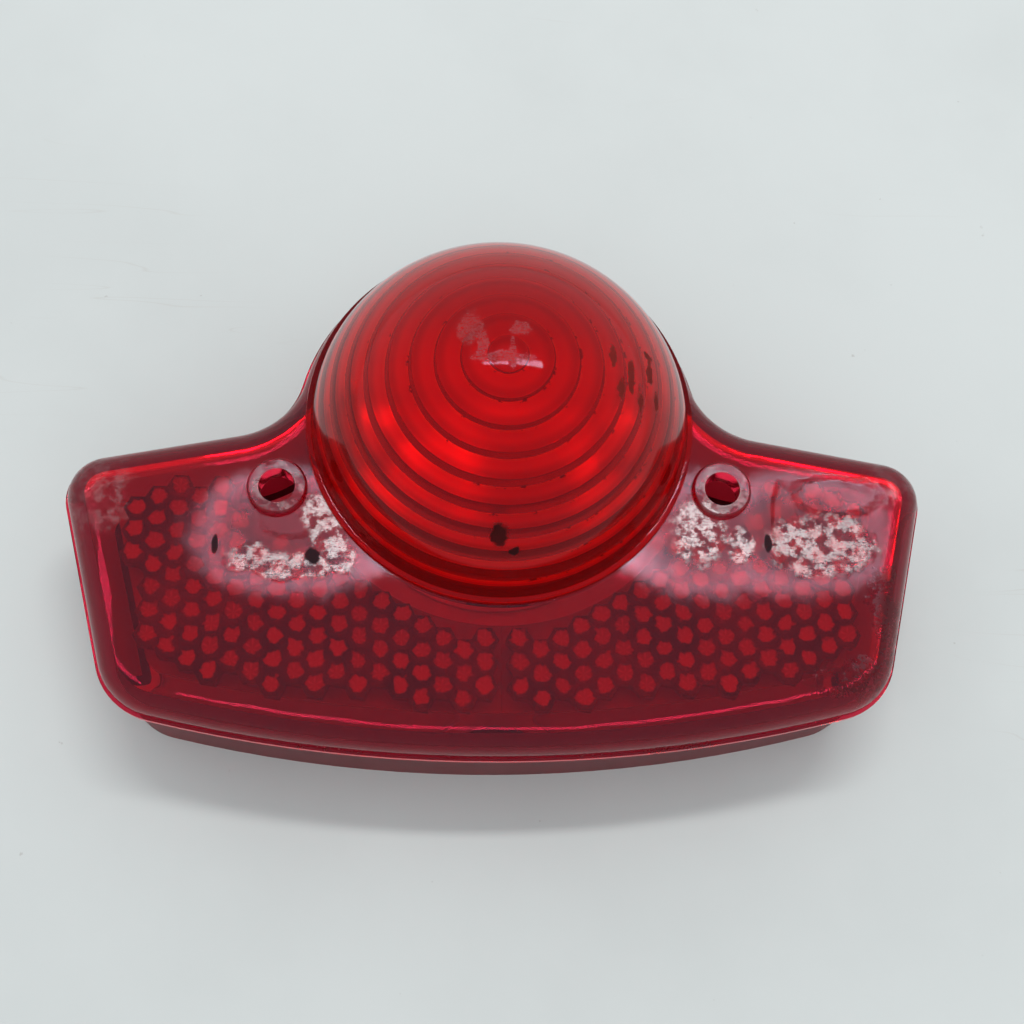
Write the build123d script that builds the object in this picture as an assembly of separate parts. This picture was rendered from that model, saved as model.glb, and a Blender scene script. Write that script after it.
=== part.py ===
from build123d import *
import os
from math import asin, cos, radians, sin, sqrt

# Motorcycle tail light: a domed red lens with two reflex reflector wings over a pressed base plate
# that carries a festoon bulb. Millimetres, +Z out of the mounting surface, +Y towards the dome's
# free side. The origin is on the dome's axis, in the mounting plane.

# ---- overall sizes ----
body_depth = 25.0  # mounting plane to the flat face of the wings
wing_half_width = 65.1  # where the top edge and the side edge would meet
wing_top_y = 5.65  # height of the top edge, carried on to the middle
wing_top_drop = 0.19  # fall of the top edge per millimetre outwards
wing_side_lean = 0.264  # inward lean of the side edge per millimetre downwards
wing_bottom_y = -50.0  # lowest point of the bottom edge
bottom_arc_radius = 211.0
top_corner_radius = 6.0
bottom_corner_radius = 10.0
neck_radius = 12.0  # hollow corner between a wing and the dome's collar
collar_radius = 30.5  # outline round the back of the dome

# ---- lens shell ----
face_thickness = 2.6
edge_depth = 5.5
edge_rounding = 4.5
bead_overhang = 0.5
bead_height = 1.0
skirt_inset = 0.8
skirt_wall = 2.4
boss_radius = 4.4
boss_height = 1.0
boss_rounding = 0.45

# ---- dome ----
dome_rise = 23.2
dome_flange_radius = 29.0
dome_flange_step = 0.8
dome_wall = 2.2
dome_ring_count = 10
dome_first_ring = 5.8  # degrees from the axis
dome_ring_step = 7.6  # degrees between rings

# ---- reflex reflectors ----
insert_margin = 6.5  # from the outline
insert_thickness = 3.9
insert_dome_gap = 1.6
insert_hole_radius = 6.2
backing_thickness = 0.8

# ---- lens bolts (the holes only) ----
bolt_x = 32.7
bolt_y = -11.4
lens_hole_radius = 2.65
base_hole_radius = 2.75

# ---- base plate and rim gasket ----
sheet = 1.2
lens_clearance = 0.3  # between the lens skirt and anything on the base
gasket_width = 1.4
gasket_height = 3.2
base_flange_height = 3.8
base_flange_wall = 1.2

# ---- cable grommet in its raised seat ----
grommet_y = -34.0
grommet_bore_radius = 2.5
grommet_neck_radius = 4.5
grommet_flange_radius = 6.5
grommet_flange_height = 1.5
grommet_seat_radius = 9.0
grommet_seat_rise = 2.5

# ---- bulb reflector (inverted white cup) ----
cup_radius = 20.5
cup_height = 11.6  # above the base sheet
cup_sheet = 0.8
cup_foot_width = 3.3
rivet_radius = 1.1
rivet_head_radius = 1.5
rivet_head_height = 0.8
cup_rivet_angles = (90, 210, 330)

# ---- insulator strip and contacts ----
strip_length = 38.0
strip_width = 12.0
strip_thickness = 2.0
blade_x = 17.0  # inner face of each upright blade
blade_sheet = 0.5
blade_width = 10.0
prong_rise = 3.0  # above the bulb's axis
live_foot_end = -2.0
earth_foot_end = 9.0
contact_rivet_x = 13.0
contact_rivet_radius = 1.2
contact_rivet_head_radius = 2.2
contact_rivet_head_height = 0.9
insulating_gap = 1.2

# ---- live terminal ----
terminal_x = -6.0
screw_radius = 1.5
screw_clearance = 0.15
screw_head_radius = 2.7
screw_head_height = 1.7
screw_slot_width = 0.8
screw_slot_depth = 0.7
washer_radius = 3.1
washer_thickness = 0.5
nut_radius = 3.1
nut_height = 2.4

# ---- earth tab ----
earth_x = 24.0
earth_y = -32.0
tab_width = 6.3
tab_thickness = 0.8
tab_foot = 7.0
tab_rise = 7.0
tab_hole_radius = 0.9

# ---- festoon bulb ----
bulb_axis_z = 24.5
bulb_half_length = 18.0
bulb_glass_radius = 5.25
bulb_glass_wall = 0.6
bulb_glass_half = 11.0  # full-width glass
cap_radius = 4.25
cap_wall = 0.45
cap_start = 12.0
cap_shoulder = 16.5
cap_tip_radius = 1.2
notch_clearance = 0.07
lead_radius = 0.25
lead_end = 6.5
coil_radius = 0.16
coil_sag = 1.6

# ---- worked out from the sizes above ----
face_under = body_depth - face_thickness
edge_bottom = body_depth - edge_depth
inner_inset = skirt_inset + skirt_wall
base_inset = inner_inset + lens_clearance
dome_base_radius = dome_flange_radius - dome_flange_step
dome_base_z = body_depth + dome_flange_step
dome_cap = dome_rise - dome_flange_step
dome_sphere = (dome_base_radius**2 + dome_cap**2) / (2 * dome_cap)
dome_centre_z = dome_base_z + dome_cap - dome_sphere
insert_bottom = face_under - insert_thickness
cup_top = sheet + cup_height
cup_foot_radius = cup_radius + cup_foot_width
strip_top = cup_top + strip_thickness
foot_top = strip_top + blade_sheet
blade_outer = blade_x + blade_sheet


def ring(outer_radius, inner_radius, bottom, height, x=0.0, y=0.0):
    """A flat ring, or a washer, standing on the height called bottom."""
    disc = Cylinder(outer_radius, height, align=(Align.CENTER, Align.CENTER, Align.MIN))
    hole = Cylinder(inner_radius, height, align=(Align.CENTER, Align.CENTER, Align.MIN))
    return Pos(x, y, bottom) * (disc - hole)


def drum(radius, bottom, height, x=0.0, y=0.0):
    """A plain upright cylinder standing on the height called bottom."""
    disc = Cylinder(radius, height, align=(Align.CENTER, Align.CENTER, Align.MIN))
    return Pos(x, y, bottom) * disc


def block(x_low, x_high, y_half, bottom, top):
    """A box, even about the plane Y = 0."""
    size = Box(x_high - x_low, 2 * y_half, top - bottom, align=(Align.MIN, Align.CENTER, Align.MIN))
    return Pos(x_low, 0, bottom) * size


def slab(face, bottom, top):
    """A flat outline stretched upwards from one height to another."""
    return Pos(0, 0, bottom) * extrude(face, top - bottom)


def near(vertices, x, y):
    """The corner that lies closest to a place in the plane."""
    return vertices.sort_by(lambda corner: (corner.X - x) ** 2 + (corner.Y - y) ** 2)[0]


def lens_outline():
    """Outline of the wings and the dome's collar, at the rounded edge of the face."""
    corner_y = wing_top_y - wing_top_drop * wing_half_width
    arc_centre_y = wing_bottom_y + bottom_arc_radius
    foot_x = wing_half_width - wing_side_lean * (corner_y - wing_bottom_y)
    # The side edge and the bottom arc meet where both give the same point, found in a few rounds.
    for _ in range(6):
        foot_y = arc_centre_y - sqrt(bottom_arc_radius**2 - foot_x**2)
        foot_x = wing_half_width - wing_side_lean * (corner_y - foot_y)
    wings = make_face(
        Polyline((-foot_x, foot_y), (-wing_half_width, corner_y), (0, wing_top_y),
                 (wing_half_width, corner_y), (foot_x, foot_y))
        + ThreePointArc((foot_x, foot_y), (0, wing_bottom_y), (-foot_x, foot_y))
    )
    shape = wings + Circle(collar_radius)
    # The top edge crosses the collar where x^2 + (wing_top_y - drop x)^2 = collar_radius^2.
    slope = 1 + wing_top_drop**2
    middle = wing_top_drop * wing_top_y / slope
    neck_x = middle + sqrt(middle**2 + (collar_radius**2 - wing_top_y**2) / slope)
    neck_y = wing_top_y - wing_top_drop * neck_x
    for x, y, radius in ((wing_half_width, corner_y, top_corner_radius),
                         (foot_x, foot_y, bottom_corner_radius),
                         (neck_x, neck_y, neck_radius)):
        for side in (-1, 1):
            shape = fillet(near(shape.vertices(), side * x, y), radius)
    return shape


def wing_shell(outline):
    """Red shell: flat face, rounded edge, small bead, skirt and two hole bosses."""
    shell = slab(outline, edge_bottom, body_depth)
    shell = fillet(shell.edges().group_by(Axis.Z)[-1], edge_rounding)
    shell += slab(offset(outline, bead_overhang), edge_bottom - bead_height / 2,
                  edge_bottom + bead_height / 2)
    shell += slab(offset(outline, -skirt_inset), 0, edge_bottom)
    shell -= slab(offset(outline, -inner_inset), 0, face_under)
    shell -= drum(dome_flange_radius, face_under, face_thickness + dome_flange_step)
    for side in (-1, 1):
        boss = drum(boss_radius, body_depth - face_thickness / 2, face_thickness / 2 + boss_height)
        boss = fillet(boss.edges().group_by(Axis.Z)[-1], boss_rounding)
        shell += Pos(side * bolt_x, bolt_y, 0) * boss
        shell -= drum(lens_hole_radius, 0, body_depth + 2 * boss_height, side * bolt_x, bolt_y)
    return shell


def lens_dome():
    """Dome with a smooth outside and concentric steps inside, on a short spigot."""
    inner_sphere = dome_sphere - dome_wall
    outside = [(0, dome_base_z + dome_cap), (dome_base_radius, dome_base_z)]
    mid_angle = asin(dome_base_radius / dome_sphere) / 2
    middle = (dome_sphere * sin(mid_angle), dome_centre_z + dome_sphere * cos(mid_angle))
    steps = []
    for index in range(dome_ring_count):
        angle = radians(dome_first_ring + index * dome_ring_step)
        radius = inner_sphere * sin(angle)
        height = dome_centre_z + inner_sphere * cos(angle)
        steps.append((steps[-1][0] if steps else 0, height))
        steps.append((radius, height))
    inner_radius = steps[-1][0]
    rim = [outside[1], (dome_flange_radius, dome_base_z), (dome_flange_radius, face_under),
           (inner_radius, face_under)]
    edge = [ThreePointArc(outside[0], middle, outside[1]), Polyline(*rim),
            Polyline(rim[-1], *reversed(steps)), Line(steps[0], outside[0])]
    profile = Plane.XZ * make_face(edge)
    return revolve(profile, Axis.Z)


def insert_outline(outline, side):
    """Field of prisms in one wing: left is side -1, right is side 1."""
    field = offset(outline, -insert_margin)
    field -= Circle(dome_flange_radius + insert_dome_gap)
    field -= Pos(side * bolt_x, bolt_y) * Circle(insert_hole_radius)
    reach = 2 * wing_half_width
    half = Pos(side * reach / 2, wing_bottom_y + reach / 2) * Rectangle(reach, reach)
    pieces = (field & half).faces()
    return pieces.sort_by(SortBy.AREA)[-1]


def base_plate(outline):
    """Pressed sheet with an upright flange, bolt holes and a raised seat for the grommet."""
    flange_inset = base_inset + gasket_width
    plate = slab(offset(outline, -base_inset), 0, sheet)
    plate += slab(offset(outline, -flange_inset) - offset(outline, -flange_inset - base_flange_wall),
                  sheet, sheet + base_flange_height)
    plate += drum(grommet_seat_radius, sheet, grommet_seat_rise, 0, grommet_y)
    plate -= drum(grommet_seat_radius - sheet, 0, grommet_seat_rise, 0, grommet_y)
    plate -= drum(grommet_neck_radius, 0, sheet + grommet_seat_rise, 0, grommet_y)
    for side in (-1, 1):
        plate -= drum(base_hole_radius, 0, sheet, side * bolt_x, bolt_y)
    for x, y in cup_rivet_places() + [(earth_x, earth_y)]:
        plate -= drum(rivet_radius, 0, sheet, x, y)
    return plate


def rim_gasket(outline):
    """Rubber strip round the base flange, inside the lens skirt."""
    band = offset(outline, -base_inset) - offset(outline, -base_inset - gasket_width)
    return slab(band, sheet, sheet + gasket_height)


def cable_grommet():
    """Rubber grommet: a flange on each side of the raised seat and a bore for the cable."""
    seat_under = grommet_seat_rise
    seat_top = grommet_seat_rise + sheet
    body = drum(grommet_flange_radius, seat_under - grommet_flange_height, grommet_flange_height)
    body += drum(grommet_neck_radius, seat_under, sheet)
    body += drum(grommet_flange_radius, seat_top, grommet_flange_height)
    length = sheet + 2 * grommet_flange_height
    body -= drum(grommet_bore_radius, seat_under - grommet_flange_height, length)
    return Pos(0, grommet_y, 0) * body


def cup_rivet_places():
    """Middle of each rivet in the reflector's foot."""
    radius = cup_radius + cup_foot_width / 2
    return [(radius * cos(radians(angle)), radius * sin(radians(angle))) for angle in cup_rivet_angles]


def bulb_reflector():
    """White cup, open side down, with a riveted foot and holes for the contacts."""
    cup = drum(cup_foot_radius, sheet, cup_sheet)
    cup += drum(cup_radius, sheet, cup_height)
    cup -= drum(cup_radius - cup_sheet, sheet, cup_height - cup_sheet)
    holes = [(x, y, rivet_radius) for x, y in cup_rivet_places()]
    holes.append((contact_rivet_x, 0, contact_rivet_radius))
    holes.append((-contact_rivet_x, 0, contact_rivet_head_radius + insulating_gap))
    holes.append((terminal_x, 0, nut_radius + insulating_gap))
    for x, y, radius in holes:
        cup -= drum(radius, sheet, cup_height, x, y)
    return cup


def rivet(radius, head_radius, head_height, bottom, top, foot_head=0.0):
    """Round rivet through a stack, headed on top and, where foot_head is given, below."""
    body = drum(radius, bottom, top - bottom)
    body += drum(head_radius, top, head_height)
    if foot_head:
        body += drum(head_radius, bottom - foot_head, foot_head)
    return body


def insulator_strip():
    """Pale moulded strip that carries both contacts, with a hole for each rivet and the terminal."""
    half = strip_length / 2
    strip = block(-half, half, strip_width / 2, cup_top, strip_top)
    for x in (-contact_rivet_x, contact_rivet_x):
        strip -= drum(contact_rivet_radius, cup_top, strip_thickness, x)
    strip -= drum(screw_radius + screw_clearance, cup_top, strip_thickness, terminal_x)
    return strip


def contact_foot(side, end_x):
    """Flat foot of a contact, from its upright blade to end_x."""
    low, high = sorted((side * blade_outer, end_x))
    foot = block(low, high, blade_width / 2, strip_top, foot_top)
    foot -= drum(contact_rivet_radius, strip_top, blade_sheet, side * contact_rivet_x)
    if low < terminal_x < high:
        foot -= drum(screw_radius + screw_clearance, strip_top, blade_sheet, terminal_x)
    return foot


def contact_blade(side):
    """Upright springy blade with an open fork that the bulb's pointed cap rests in."""
    slope = (cap_radius - cap_tip_radius) / (bulb_half_length - cap_shoulder)
    notch = cap_radius - slope * (blade_x - cap_shoulder) + notch_clearance
    low, high = sorted((side * blade_x, side * blade_outer))
    blade = block(low, high, blade_width / 2, foot_top, bulb_axis_z + prong_rise)
    blade -= block(low, high, notch, bulb_axis_z, bulb_axis_z + prong_rise)
    round_end = Cylinder(notch, 2 * blade_sheet, rotation=(0, 90, 0))
    blade -= Pos((low + high) / 2, 0, bulb_axis_z) * round_end
    return blade


def terminal_screw():
    """Cheese-head screw with a straight slot, down through the strip and its nut."""
    head_bottom = foot_top + washer_thickness
    shank_bottom = cup_top - nut_height
    screw = drum(screw_radius, shank_bottom, head_bottom - shank_bottom)
    head = drum(screw_head_radius, head_bottom, screw_head_height)
    slot_bottom = head_bottom + screw_head_height - screw_slot_depth
    head -= block(-screw_head_radius, screw_head_radius, screw_slot_width / 2, slot_bottom,
                  head_bottom + screw_head_height)
    return Pos(terminal_x, 0, 0) * (screw + head)


def terminal_nut():
    """Hexagon nut under the strip, inside the reflector's insulating hole."""
    nut = extrude(RegularPolygon(nut_radius, 6), nut_height)
    nut = Pos(terminal_x, 0, cup_top - nut_height) * nut
    return nut - drum(screw_radius + screw_clearance, cup_top - nut_height, nut_height, terminal_x)


def earth_tab():
    """Push-on tab bent up from a riveted foot on the base plate."""
    foot = Box(tab_foot, tab_width, tab_thickness, align=(Align.CENTER, Align.CENTER, Align.MIN))
    blade = Box(tab_thickness, tab_width, tab_rise, align=(Align.MIN, Align.CENTER, Align.MIN))
    tab = foot + Pos(tab_foot / 2 - tab_thickness, 0, 0) * blade
    eye = Cylinder(tab_hole_radius, 3 * tab_thickness, rotation=(0, 90, 0))
    tab -= Pos(tab_foot / 2 - tab_thickness / 2, 0, tab_rise - tab_width / 3) * eye
    tab -= drum(rivet_radius, 0, tab_thickness)
    return Pos(earth_x, earth_y, sheet) * tab


def bulb_glass():
    """Tubular glass, drawn in at both ends to fit inside the metal caps."""
    neck_radius_out = cap_radius - cap_wall
    outer = [(-cap_shoulder, neck_radius_out), (-cap_start, neck_radius_out),
             (-bulb_glass_half, bulb_glass_radius), (bulb_glass_half, bulb_glass_radius),
             (cap_start, neck_radius_out), (cap_shoulder, neck_radius_out)]
    inner = [(x, radius - bulb_glass_wall) for x, radius in outer]
    profile = make_face(Polyline(*outer, *reversed(inner), outer[0]))
    return Pos(0, 0, bulb_axis_z) * revolve(profile, Axis.X)


def bulb_cap(side):
    """Metal cap: a cup round the glass neck that ends in a blunt point."""
    outline = [(cap_start, cap_radius - cap_wall), (cap_start, cap_radius), (cap_shoulder, cap_radius),
               (bulb_half_length, cap_tip_radius), (bulb_half_length, 0), (cap_shoulder, 0),
               (cap_shoulder, cap_radius - cap_wall)]
    profile = make_face(Polyline(*[(side * x, radius) for x, radius in outline], close=True))
    return Pos(0, 0, bulb_axis_z) * revolve(profile, Axis.X)


def filament_leads():
    """Two stiff lead wires, one from each cap to its end of the coil."""
    length = cap_shoulder - lead_end
    wire = Cylinder(lead_radius, length, rotation=(0, 90, 0))
    centre = lead_end + length / 2
    return [Pos(side * centre, 0, bulb_axis_z) * wire for side in (-1, 1)]


def filament_coil():
    """Fine filament that bows slightly between the leads."""
    path = ThreePointArc((-lead_end, 0, bulb_axis_z), (0, 0, bulb_axis_z + coil_sag),
                         (lead_end, 0, bulb_axis_z))
    start = Plane(origin=path @ 0, z_dir=path % 0)
    return sweep(start * Circle(coil_radius), path)


def save(shape, name):
    """Writes one node, whether it is one solid or a group of them."""
    group = shape if isinstance(shape, list) else shape.solids()
    export_step(group[0] if len(group) == 1 else Compound(children=list(group)), f"parts/{name}.step")


os.makedirs("parts", exist_ok=True)
outline = lens_outline()

save(lens_dome(), "lens_dome")
save(wing_shell(outline), "wing_shell")
for side, word in ((-1, "left"), (1, "right")):
    field = insert_outline(outline, side)
    save(slab(field, insert_bottom, face_under), f"reflector_insert_{word}")
    save(slab(field, insert_bottom - backing_thickness, insert_bottom), f"reflector_backing_{word}")
    save(bulb_cap(side), f"bulb_cap_{word}")

save(base_plate(outline), "base_plate")
save(rim_gasket(outline), "rim_gasket")
save(cable_grommet(), "cable_grommet")
save(bulb_reflector(), "bulb_reflector")
cup_rivet = rivet(rivet_radius, rivet_head_radius, rivet_head_height, 0, sheet + cup_sheet)
save([Pos(x, y, 0) * cup_rivet for x, y in cup_rivet_places()], "reflector_rivets")

save(insulator_strip(), "insulator_strip")
for side, word, end_x in ((-1, "live", live_foot_end), (1, "earth", earth_foot_end)):
    save(contact_foot(side, end_x), f"contact_foot_{word}")
    save(contact_blade(side), f"contact_blade_{word}")
live_rivet = rivet(contact_rivet_radius, contact_rivet_head_radius, contact_rivet_head_height,
                   cup_top, foot_top, contact_rivet_head_height)
save(Pos(-contact_rivet_x, 0, 0) * live_rivet, "contact_rivet_live")
earth_rivet = rivet(contact_rivet_radius, contact_rivet_head_radius, contact_rivet_head_height,
                    cup_top - cup_sheet, foot_top, contact_rivet_head_height)
save(Pos(contact_rivet_x, 0, 0) * earth_rivet, "contact_rivet_earth")

save(terminal_screw(), "terminal_screw")
save(ring(washer_radius, screw_radius + screw_clearance, foot_top, washer_thickness, terminal_x),
     "terminal_washer")
save(terminal_nut(), "terminal_nut")
save(earth_tab(), "earth_tab")
tab_rivet = rivet(rivet_radius, rivet_head_radius, rivet_head_height, 0, sheet + tab_thickness)
save(Pos(earth_x, earth_y, 0) * tab_rivet, "earth_tab_rivet")

save(bulb_glass(), "bulb_glass")
save(filament_leads(), "filament_leads")
save(filament_coil(), "filament_coil")
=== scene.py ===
"""Motorcycle tail light: fine shapes, finishes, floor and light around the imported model."""

from math import atan2, cos, pi, radians, sin, sqrt

import bpy
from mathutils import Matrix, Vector


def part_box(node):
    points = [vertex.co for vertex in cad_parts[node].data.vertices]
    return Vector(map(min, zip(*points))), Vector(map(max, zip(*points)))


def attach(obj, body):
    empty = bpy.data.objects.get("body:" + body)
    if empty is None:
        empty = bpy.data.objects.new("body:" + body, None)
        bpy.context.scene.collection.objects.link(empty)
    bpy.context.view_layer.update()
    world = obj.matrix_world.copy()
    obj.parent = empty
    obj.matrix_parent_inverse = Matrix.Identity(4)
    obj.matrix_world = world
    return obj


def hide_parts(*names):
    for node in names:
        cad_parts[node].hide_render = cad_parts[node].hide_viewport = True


bl_info = {
    "name": "Tail Light Finish",
    "version": (1, 0, 0),
    "blender": (4, 5, 0),
    "location": "View3D > Sidebar > Tail Light",
    "description": "Gives a packed motorcycle tail light its fine shapes, finishes, floor and light",
    "category": "Object",
}

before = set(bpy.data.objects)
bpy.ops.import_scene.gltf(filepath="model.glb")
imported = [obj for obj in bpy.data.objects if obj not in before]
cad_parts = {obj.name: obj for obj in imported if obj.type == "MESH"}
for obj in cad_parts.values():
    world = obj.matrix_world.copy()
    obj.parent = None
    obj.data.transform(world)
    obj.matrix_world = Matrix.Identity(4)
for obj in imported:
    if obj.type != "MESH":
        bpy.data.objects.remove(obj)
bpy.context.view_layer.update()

MM = 0.001
FULL_TURN = 2 * pi
MERGE = 0.002 * MM  # points nearer than this are one point
FACE_THICKNESS = 2.6 * MM
FACE_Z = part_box("lens_dome")[0].z + FACE_THICKNESS
SKIRT_TOP = FACE_Z - 6.0 * MM  # where the skirt's painted shade and rougher finish start, just under the bead
HALF_HEIGHT = sqrt(0.75)  # of a hexagon with a side of 1, from its middle to a flat
WINGS = ("left", "right")

# The prisms' honeycomb: columns out from the middle, and rows up and down from where they are counted.
COLUMNS = 32
ROWS = (-12, 24)
DOME_ZONE = 36.0 * MM  # this near the dome's axis, prisms have to be whole
BESIDE_DOME = 0.97  # share of a prism that has to lie over its field there
AT_OUTLINE = 0.40  # and share elsewhere
PRISM_MERGE = 0.03 * MM


# ---------------------------------------------------------------- settings


class LensSettings(bpy.types.PropertyGroup):
    """Sizes and colours of the red lens."""

    dome_colour: bpy.props.FloatVectorProperty(
        name="Dome colour", description="Tint of the clear dome", subtype="COLOR", size=4,
        default=(0.96, 0.011, 0.011, 1.0), min=0.0, max=1.0)
    wing_colour: bpy.props.FloatVectorProperty(
        name="Wing colour", description="Tint of the clear wings", subtype="COLOR", size=4,
        default=(0.88, 0.018, 0.062, 1.0), min=0.0, max=1.0)
    prism_colour: bpy.props.FloatVectorProperty(
        name="Prism colour", description="Tint of the prism fields", subtype="COLOR", size=4,
        default=(0.78, 0.010, 0.029, 1.0), min=0.0, max=1.0)
    wall: bpy.props.FloatProperty(
        name="Dome wall", description="Least thickness of the dome", default=2.2 * MM, unit="LENGTH")
    flange_step: bpy.props.FloatProperty(
        name="Flange step", description="Height and width of the step at the dome's foot",
        default=0.8 * MM, unit="LENGTH")
    ring_count: bpy.props.IntProperty(
        name="Rings", description="Steps inside the dome", default=10, min=1)
    first_ring: bpy.props.FloatProperty(
        name="First ring", description="Angle of the smallest ring from the axis",
        default=radians(5.8), unit="ROTATION")
    ring_step: bpy.props.FloatProperty(
        name="Ring step", description="Angle between rings", default=radians(7.6), unit="ROTATION")
    prism_side: bpy.props.FloatProperty(
        name="Prism side", description="Side of one hexagonal prism", default=1.99 * MM, unit="LENGTH")
    field_turn: bpy.props.FloatProperty(
        name="Field turn", description="Turn of each prism field in its plane",
        default=0.014, unit="ROTATION")
    film: bpy.props.FloatProperty(
        name="Air film", description="Gap between clear pieces that touch", default=0.06 * MM,
        unit="LENGTH")


class HardwareSettings(bpy.types.PropertyGroup):
    """Edges of the pieces inside the lens."""

    sheet_edge: bpy.props.FloatProperty(
        name="Sheet edge", description="Softening of pressed sheet edges", default=0.12 * MM,
        unit="LENGTH")
    moulded_edge: bpy.props.FloatProperty(
        name="Moulded edge", description="Softening of moulded and rubber edges", default=0.3 * MM,
        unit="LENGTH")
    coil_turns: bpy.props.IntProperty(
        name="Coil turns", description="Turns of the bulb's filament", default=34, min=3)


class StageSettings(bpy.types.PropertyGroup):
    """Floor, light and camera."""

    floor_colour: bpy.props.FloatVectorProperty(
        name="Floor colour", description="Colour of the pale floor", subtype="COLOR", size=4,
        default=(0.555, 0.582, 0.570, 1.0), min=0.0, max=1.0)
    room_colour: bpy.props.FloatVectorProperty(
        name="Room colour", description="Colour of the light from all round", subtype="COLOR", size=4,
        default=(0.94, 0.97, 1.0, 1.0), min=0.0, max=1.0)
    room_strength: bpy.props.FloatProperty(
        name="Room strength", description="Strength of the light from all round", default=0.95)
    window_power: bpy.props.FloatProperty(
        name="Window power", description="Power of the long window light", default=4.5, unit="POWER")
    camera_place: bpy.props.FloatVectorProperty(
        name="Camera place", description="Where the camera stands", subtype="TRANSLATION",
        default=(-10.607 * MM, -83.089 * MM, 212.486 * MM))
    camera_turn: bpy.props.FloatVectorProperty(
        name="Camera turn", description="How the camera is turned", subtype="EULER",
        default=(radians(19.99), radians(-3.407), radians(-0.812)))
    camera_lens: bpy.props.FloatProperty(
        name="Camera lens", description="Focal length on a 36 mm sensor", default=48.02)


# ---------------------------------------------------------------- modelling helpers


def clear_selection():
    """Leaves edit mode and deselects everything."""
    if bpy.context.object and bpy.context.object.mode != "OBJECT":
        bpy.ops.object.mode_set(mode="OBJECT")
    bpy.ops.object.select_all(action="DESELECT")


def take(piece):
    """Makes one piece the only one selected."""
    clear_selection()
    piece.select_set(True)
    bpy.context.view_layer.objects.active = piece


def start_point(name, place):
    """A new piece that is a single point, in edit mode, ready to be drawn on from."""
    clear_selection()
    bpy.ops.mesh.primitive_plane_add(size=MM)
    piece = bpy.context.object
    piece.name = name
    bpy.ops.object.mode_set(mode="EDIT")
    bpy.ops.mesh.select_mode(type="VERT")
    bpy.ops.mesh.select_all(action="SELECT")
    bpy.ops.mesh.merge(type="CENTER")
    bpy.ops.transform.translate(value=place)
    return piece


def draw_profile(name, points):
    """A new piece that is an open line through the points, in edit mode."""
    places = [Vector(point) for point in points]
    piece = start_point(name, places[0])
    for before, after in zip(places, places[1:]):
        bpy.ops.mesh.extrude_region_move(TRANSFORM_OT_translate={"value": after - before})
    return piece


def spin_round(piece, centre, axis, steps, sharp_over):
    """Spins the drawn line right round an axis and closes it into a clean solid."""
    bpy.ops.mesh.select_all(action="SELECT")
    bpy.ops.mesh.spin(steps=steps, angle=FULL_TURN, center=centre, axis=axis)
    tidy_mesh()
    bpy.ops.object.mode_set(mode="OBJECT")
    smooth_over(piece, sharp_over)


def tidy_mesh():
    """In edit mode, merges doubles and points every face outwards."""
    bpy.ops.mesh.select_all(action="SELECT")
    bpy.ops.mesh.remove_doubles(threshold=MERGE)
    bpy.ops.mesh.normals_make_consistent(inside=False)


def smooth_over(piece, angle):
    """Smooth shading, with edges over this many degrees left crisp."""
    take(piece)
    bpy.ops.object.shade_smooth_by_angle(angle=radians(angle))


def apply_modifier(piece, kind, **values):
    """Adds one modifier with these values and applies it."""
    take(piece)
    added = piece.modifiers.new(kind.title(), kind)
    for name, value in values.items():
        setattr(added, name, value)
    bpy.ops.object.modifier_apply(modifier=added.name)


def fine_copy(node, name, edge):
    """A merged copy of a CAD node with softened edges and even shading, as a piece of its own."""
    clear_selection()
    piece = bpy.data.objects.new(name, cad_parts[node].data.copy())
    bpy.context.collection.objects.link(piece)
    take(piece)
    piece.data.materials.clear()
    bpy.ops.object.mode_set(mode="EDIT")
    bpy.ops.mesh.select_all(action="SELECT")
    bpy.ops.mesh.customdata_custom_splitnormals_clear()
    bpy.ops.mesh.remove_doubles(threshold=MERGE)
    bpy.ops.mesh.dissolve_limited(angle_limit=radians(0.4))
    bpy.ops.object.mode_set(mode="OBJECT")
    apply_modifier(piece, "BEVEL", width=edge, segments=2, limit_method="ANGLE",
                   angle_limit=radians(50), harden_normals=False)
    smooth_over(piece, 35)
    apply_modifier(piece, "WEIGHTED_NORMAL", keep_sharp=True)
    return piece


def place_piece(piece, body, node, material):
    """Gives a finished piece its material and body, and lets it stand for its CAD node."""
    take(piece)
    bpy.ops.object.transform_apply(location=True, rotation=True, scale=True)
    piece.data.materials.clear()
    piece.data.materials.append(material)
    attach(piece, body)
    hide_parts(node)
    clear_selection()


def refine(node, name, body, material, edge):
    """Makes a finer piece from a CAD node and puts it in the node's place."""
    place_piece(fine_copy(node, name, edge), body, node, material)


# ---------------------------------------------------------------- shader helpers


class Value:
    """A number, place or colour that changes over a surface. Arithmetic on it adds Math nodes."""

    def __init__(self, socket):
        self.socket = socket
        self.tree = socket.id_data

    def __add__(self, other):
        return maths("ADD", self, other)

    def __sub__(self, other):
        return maths("SUBTRACT", self, other)

    def __rsub__(self, other):
        return maths("SUBTRACT", other, self)

    def __mul__(self, other):
        return maths("MULTIPLY", self, other)

    def __truediv__(self, other):
        return maths("DIVIDE", self, other)

    def __abs__(self):
        return maths("ABSOLUTE", self)


def feed(target, value):
    """Links a Value into an input socket, or sets the socket to a plain value."""
    if isinstance(value, Value):
        value.tree.links.new(value.socket, target)
    else:
        target.default_value = value


def fill(sockets, **values):
    """Feeds input sockets by name, with _ for each space."""
    for name, value in values.items():
        feed(sockets[name.replace("_", " ")], value)


def add_node(tree, kind, **values):
    """A new node whose inputs are filled by name."""
    made = tree.nodes.new(kind)
    fill(made.inputs, **values)
    return made


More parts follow.
